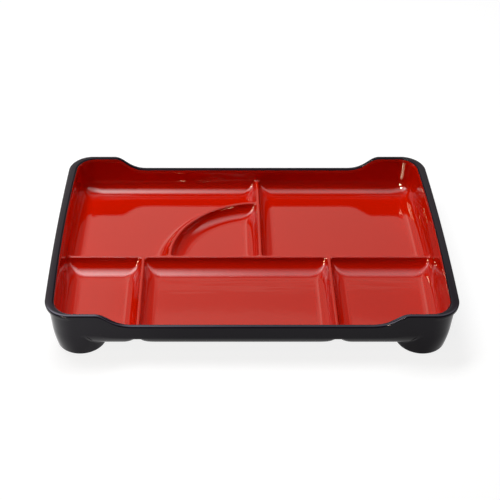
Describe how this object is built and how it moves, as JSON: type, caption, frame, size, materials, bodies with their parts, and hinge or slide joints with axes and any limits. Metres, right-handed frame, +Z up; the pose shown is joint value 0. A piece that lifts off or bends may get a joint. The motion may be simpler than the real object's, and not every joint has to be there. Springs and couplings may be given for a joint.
{
  "type": "bento box",
  "caption": "Rectangular serving bento box: black footed case with wave-cut rims and a lift-out vermilion tray divided into wells",
  "frame": {"origin": "bottom centre of the box, on the surface that the feet stand on", "axes": "+X to the right along the long side, +Y to the rear, +Z up; the three front wells face -Y"},
  "size_m": [0.3598, 0.2418, 0.047],
  "materials": {
    "black_abs": "gloss black, like urethane lacquer on ABS",
    "vermilion_abs": "mirror-gloss vermilion, like urethane lacquer on ABS"
  },
  "bodies": {
    "case": {"outer_case": "black_abs"},
    "tray": {"divided_tray": "vermilion_abs"}
  },
  "joints": [
    {"name": "tray_lift", "type": "slide", "parent": "case", "child": "tray", "axis": [0, 0, 1], "range_m": [0, 0.06]}
  ]
}
